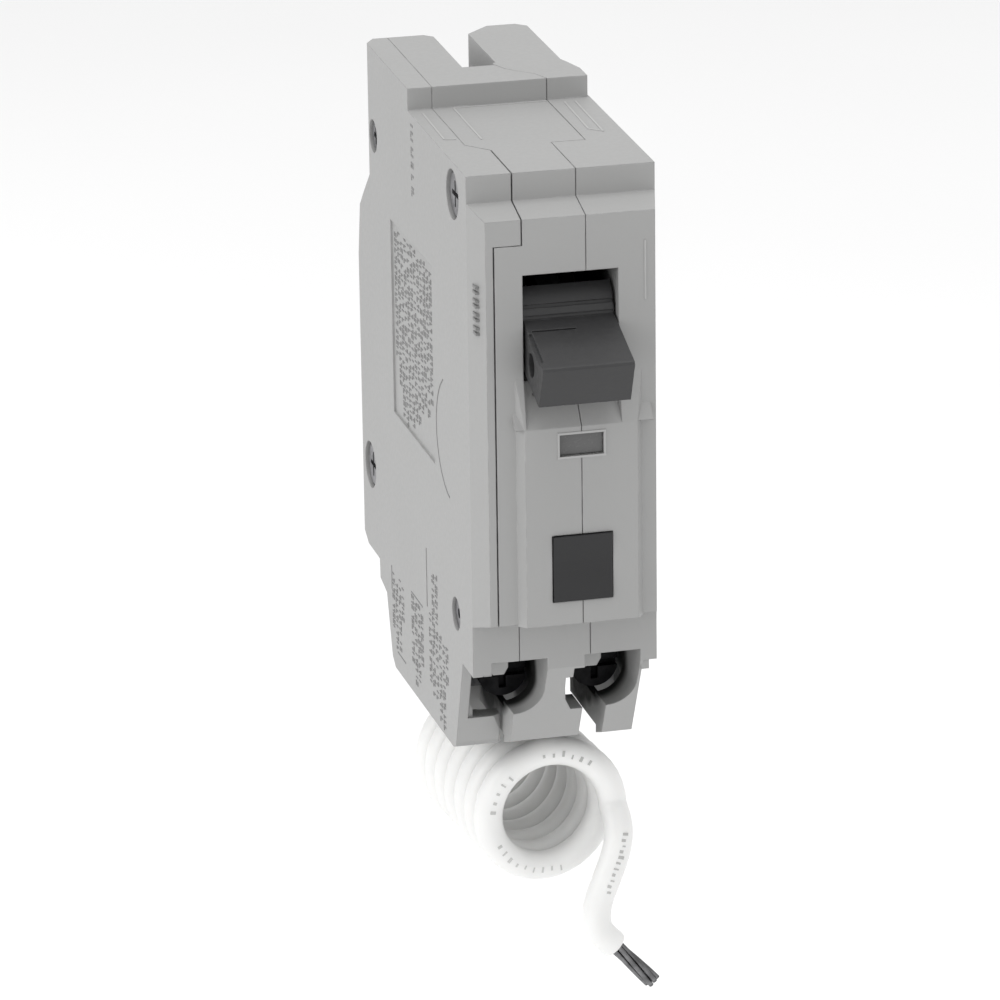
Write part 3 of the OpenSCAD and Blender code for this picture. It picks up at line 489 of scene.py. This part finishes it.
def pigtail_route():
    """From the gland along the lead-in, round the turns and down the lead-out."""
    turns = []
    steps = round(TURNS * TURN_STEPS)
    for i in range(steps + 1):
        share = i / steps
        depth = COIL_REAR + (COIL_FRONT - COIL_REAR) * share
        turns.append(on_coil(JOIN_ANGLE - 360 * TURNS * share, COIL_R, depth))
    start = at(*GLAND)
    pieces = 5
    lead_in = [start.lerp(turns[0], k / pieces) for k in range(pieces)]
    return lead_in, turns, rounded([turns[-1]] + LEAD_OUT)[1:]


lead_in_points, turn_points, lead_out_points = pigtail_route()
route = lead_in_points + turn_points + lead_out_points


def add_pigtail():
    curve = bpy.data.curves.new("pigtail_wire", "CURVE")
    curve.dimensions = "3D"
    curve.bevel_depth = WIRE_D / 2 * MM
    curve.bevel_resolution = 8
    curve.use_fill_caps = True
    spline = curve.splines.new("POLY")
    spline.points.add(len(route) - 1)
    for point, spot in zip(spline.points, route):
        point.co = (*spot, 1)
    curve.materials.append(white_jacket)
    wire = bpy.data.objects.new("pigtail_wire", curve)
    bpy.context.scene.collection.objects.link(wire)
    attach(wire, "case")
    return wire


STRAND_R = 0.36
STRAND_TWIST = math.radians(70)
STRANDS_AROUND = 6


def add_strands():
    """Six tinned strands round a seventh, laid with a slow twist and cut a little unevenly."""
    build = bmesh.new()
    start = at(9.1, 11.85, -114.6)
    end = at(15.6, 12.2, -121.8)
    along = (end - start).normalized()
    across = along.cross(Vector((0, 1, 0))).normalized()
    other = along.cross(across)
    rng = random.Random(4)
    length = (end - start).length
    steps = 14
    for k in range(STRANDS_AROUND + 1):
        ring = 0 if k == STRANDS_AROUND else 2 * STRAND_R * MM
        phase = 2 * math.pi * k / STRANDS_AROUND
        reach = length * rng.uniform(0.93, 1.0)
        splay = rng.uniform(0.0, 0.35) * MM
        points = []
        for i in range(steps + 1):
            t = i / steps
            angle = phase + STRAND_TWIST * t
            out = ring + splay * t * t
            points.append(
                start + along * reach * t
                + across * out * math.cos(angle) + other * out * math.sin(angle)
            )
        tube(build, points, STRAND_R * MM)
    mesh = finish_mesh(build, "strand_bundle")
    smooth(mesh)
    piece = add_piece("strand_bundle", mesh, strand_metal)
    return piece


wire = add_pigtail()
strands = add_strands()
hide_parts("pigtail_lead_in", "pigtail_coil", "pigtail_lead_out")
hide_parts("pigtail_strands")

# ---------- relief on the case ----------

SIDE = -HALF_WIDTH
LABEL_FLOOR = SIDE + 0.3
# how far relief sinks into the wall it stands on
SUNK = 0.02
# how far small marks and plain bars stand off the left side
MARK_PROUD = 0.08
BAR_PROUD = 0.06

# Meaningless strokes. Each spans two shares of the line's width, counted from its rear edge,
# and two shares of the mark's height, counted from the top.
STROKES = (
    ((0.0, 1.0, 0.0, 0.3), (0.0, 0.3, 0.3, 1.0)),
    ((0.0, 1.0, 0.6, 1.0), (0.65, 1.0, 0.0, 0.6)),
    ((0.1, 0.9, 0.1, 0.5),),
    ((0.0, 0.35, 0.0, 1.0), (0.65, 1.0, 0.0, 1.0)),
)
WORD_GAP_CHANCE = 0.16
WORD_GAP = 0.5


def mark_column(build, rng, x, y_back, z_top, z_end, width):
    """A line of small random strokes down the left side, in place of a moulded text line."""
    z = z_top
    while z > z_end:
        tall = rng.uniform(0.45, 0.75)
        for a, b, c, d in rng.choice(STROKES):
            low = (x - MARK_PROUD, y_back - b * width, z - d * tall)
            high = (x + SUNK, y_back - a * width, z - c * tall)
            bar(build, low, high, 0.03)
        z -= tall + rng.uniform(0.18, 0.3)
        if rng.random() < WORD_GAP_CHANCE:
            z -= WORD_GAP


def side_bar(build, y0, y1, z0, z1, shrink):
    """A plain bar on the left side."""
    bar(build, (SIDE - BAR_PROUD, y0, z0), (SIDE + SUNK, y1, z1), shrink)


def frame_bars(build, x0, x1, y0, y1, z0, z1, width):
    """A thin rectangular frame that stands on the front, between y0 and y1."""
    bar(build, (x0, y0, z1 - width), (x1, y1, z1))
    bar(build, (x0, y0, z0), (x1, y1, z0 + width))
    # the upright bars run a little into the level ones, so that no two edges coincide
    lap = 0.02
    low, high = z0 + width - lap, z1 - width + lap
    bar(build, (x0 + lap, y0 + lap, low), (x0 + width, y1, high))
    bar(build, (x1 - width, y0 + lap, low), (x1 - lap, y1, high))


# rise of the top face towards the back, and how deep its raised lines are rooted
TOP_SLOPE = 0.8 / 32.5
TOP_ROOT = 0.05


def top_line(build, x0, y0, x1, y1, width, proud=0.1):
    """A thin raised line along the sloping top face."""
    along = Vector((x1 - x0, y1 - y0, 0)).normalized()
    side = Vector((-along.y, along.x, 0)) * width / 2
    loop = [(x0 - side.x, y0 - side.y), (x1 - side.x, y1 - side.y),
            (x1 + side.x, y1 + side.y), (x0 + side.x, y0 + side.y)]
    skin_rings(build, [
        [build.verts.new(at(x, y, TOP_SLOPE * y + lift)) for x, y in loop]
        for lift in (-TOP_ROOT, proud)
    ])


def side_arc(build, y, z, radius, start, stop, width=0.22, proud=0.05):
    """A thin raised arc on the left side."""
    steps = 40
    rings = []
    for k in range(steps + 1):
        angle = math.radians(start + (stop - start) * k / steps)
        c, s = math.cos(angle), math.sin(angle)
        rings.append([
            build.verts.new(at(x, y + r * c, z + r * s))
            for x, r in (
                (SIDE + SUNK, radius - width / 2), (SIDE - proud, radius - width / 2),
                (SIDE - proud, radius + width / 2), (SIDE + SUNK, radius + width / 2),
            )
        ])
    skin_rings(build, rings)


def add_relief(name, build, material):
    piece = add_piece(name, finish_mesh(build, name), material)


# Where each line of marks in the label field ends, from the back to the front.
LABEL_ENDS = (-37, -40, -44.6, -45, -44, -44.5, -44, -43, -41, -39, -40, -38)
LABEL_TOP = -18.8
LABEL_BACK = 43.3
LABEL_PITCH = 1.85

# Rear edge, top and end of each line of marks below the label.
LOWER_LINES = (
    (47.6, -70, -78), (45.6, -71, -81), (43.6, -69.8, -80.5), (41.8, -70.4, -76),
    (35.8, -69.4, -79), (33.9, -69.8, -82), (32, -69.6, -81.4), (30.2, -70.5, -78),
    (25.2, -68.4, -79), (23.3, -62, -80), (21.4, -61.6, -79.4),
    (19.4, -69.6, -82), (17.4, -70.4, -82.4), (15.6, -70.2, -76),
)
RATING_DASHES = 10


def add_side_marks():
    rng = random.Random(11)
    build = bmesh.new()
    for k, z_end in enumerate(LABEL_ENDS):
        z_top = LABEL_TOP + rng.uniform(-0.8, 0.4)
        mark_column(build, rng, LABEL_FLOOR, LABEL_BACK - LABEL_PITCH * k, z_top, z_end, 1.25)
    add_relief("label_marks", build, shaded_mark_plastic)

    build = bmesh.new()
    for y, z_top, z_end in LOWER_LINES:
        mark_column(build, rng, SIDE, y, z_top, z_end, 1.3)
    side_bar(build, 47.7, 48.1, -72.8, -69.3, 0.05)
    side_bar(build, 29, 35.8, -69.2, -69, 0.02)
    side_bar(build, 40, 45, -81.4, -81.2, 0.02)
    add_relief("lower_marks", build, shaded_mark_plastic)

    # a row of dashes behind the top screw, every other one with a hook
    build = bmesh.new()
    for k in range(RATING_DASHES):
        z1 = -0.6 - rng.uniform(0.95, 1.1) * k
        side_bar(build, 29.6, 31.0, z1 - 0.4, z1, 0.05)
        if k % 2:
            side_bar(build, 30.6, 31.0, z1 - 0.9, z1 - 0.4, 0.05)
    add_relief("rating_marks", build, shaded_mark_plastic)

    build = bmesh.new()
    side_arc(build, 10.3, -39.2, 8.5, -80, 60)
    add_relief("side_arc", build, shaded_mark_plastic)


# Raised lines on the top face, each from one x, y to another.
TOP_LINES = (
    (-11.1, 30.4, -11.3, 17.4), (-11.3, 17.4, -9.8, 17.0),
    (-6.5, 31.6, -6.5, 16.2), (-6.5, 31.8, 6.6, 31.8),
    (8.7, 30.7, 8.4, 17.2), (10.2, 30.7, 10.0, 15.6), (8.4, 17.2, 10.0, 15.8),
)
TOP_LINE_WIDTH = 0.25
NOSE_DASHES = 4
NOSE_PITCH = 1.85


def add_front_relief():
    build = bmesh.new()
    # frame round the window
    frame_bars(build, -2.4, 4.2, -6.3, -6.1, -37.5, -33.9, 0.3)
    # short ridge on the right of the nose
    bar(build, (9.9, -4.9, -17), (10.15, -4.7, -9))
    add_relief("front_rims", build, highlight_rim_plastic)

    # pairs of plain raised dashes on the left nose chamfer
    build = bmesh.new()
    for k in range(NOSE_DASHES):
        z1 = -14 - NOSE_PITCH * k
        bar(build, (-12.4, -3.1, z1 - 1.1), (-11.9, -1.5, z1 - 0.75))
        bar(build, (-12.4, -3.1, z1 - 0.35), (-11.9, -1.5, z1))
    add_relief("nose_marks", build, shaded_mark_plastic)

    build = bmesh.new()
    for line in TOP_LINES:
        top_line(build, *line, TOP_LINE_WIDTH)
    add_relief("top_rims", build, highlight_rim_plastic)


# Steps of the front turn that carry a dash, counted from the coil's front end; the two
# breaks stand for the spaces between the words.
PRINTED_STEPS = [*range(6, 12), *range(15, 20), *range(23, 32)]


def print_dash(build, rng, points, i):
    """A thin dash on the side of the wire that faces the front, at point i of its route."""
    front = (on_coil(0, 0, 0) - on_coil(0, 0, 1)).normalized()
    along = (points[i + 1] - points[i - 1]).normalized()
    facing = (front - along * front.dot(along)).normalized()
    across = along.cross(facing)
    half = rng.uniform(0.1, 0.22) * MM
    tall = rng.uniform(0.22, 0.42) * MM
    shift = rng.uniform(-0.2, 0.2) * MM
    middle = points[i] + facing * WIRE_D / 2 * MM + across * shift
    skin_rings(build, [
        [
            build.verts.new(middle + along * half * a + across * tall * b + facing * out * MM)
            for a, b in ((-1, -1), (1, -1), (1, 1), (-1, 1))
        ]
        for out in (-0.1, 0.03)
    ])


def add_wire_print():
    """Plain dashes in place of the print on the wire."""
    rng = random.Random(5)
    build = bmesh.new()
    last = len(turn_points) - 1
    for step in PRINTED_STEPS:
        print_dash(build, rng, turn_points, last - step)
    for i in range(4, len(lead_out_points) - 12):
        print_dash(build, rng, lead_out_points, i)
    piece = add_piece("wire_print", finish_mesh(build, "wire_print"), print_ink)


add_side_marks()
add_front_relief()
add_wire_print()

# ---------- floor and light ----------

FLOOR_Z = -0.15


def add_floor():
    build = bmesh.new()
    bmesh.ops.create_grid(build, x_segments=8, y_segments=8, size=4)
    for vertex in build.verts:
        vertex.co.z = FLOOR_Z
    mesh = finish_mesh(build, "floor")
    material, tree, shader, where = new_material("floor_paper")
    paper = ramp(tree, noise(tree, where, 3, 2), [(0.3, 0.93), (0.7, 0.96)])
    tree.links.new(paper, shader.inputs["Base Color"])
    shader.inputs["Roughness"].default_value = 0.9
    mesh.materials.append(material)
    floor = bpy.data.objects.new("floor", mesh)
    bpy.context.scene.collection.objects.link(floor)


def add_light(name, place, target, size, watts):
    data = bpy.data.lights.new(name, "AREA")
    data.shape = "SQUARE"
    data.size = size
    data.energy = watts
    light = bpy.data.objects.new(name, data)
    light.location = place
    light.rotation_euler = (Vector(target) - Vector(place)).to_track_quat("-Z", "Y").to_euler()
    bpy.context.scene.collection.objects.link(light)


def add_studio():
    world = bpy.data.worlds.new("studio")
    world.use_nodes = True
    background = world.node_tree.nodes["Background"]
    background.inputs["Color"].default_value = (1, 1, 1, 1)
    background.inputs["Strength"].default_value = 0.8
    bpy.context.scene.world = world
    centre = (0, -0.035, 0)
    add_light("key", (-1.0, -0.25, 0.35), centre, 0.6, 3.2)
    add_light("top", (0.0, -0.1, 1.0), centre, 0.7, 5.0)
    add_light("front", (0.1, -1.1, 0.25), centre, 0.6, 0.5)
    bpy.context.scene.view_settings.view_transform = "Standard"


add_floor()
add_studio()
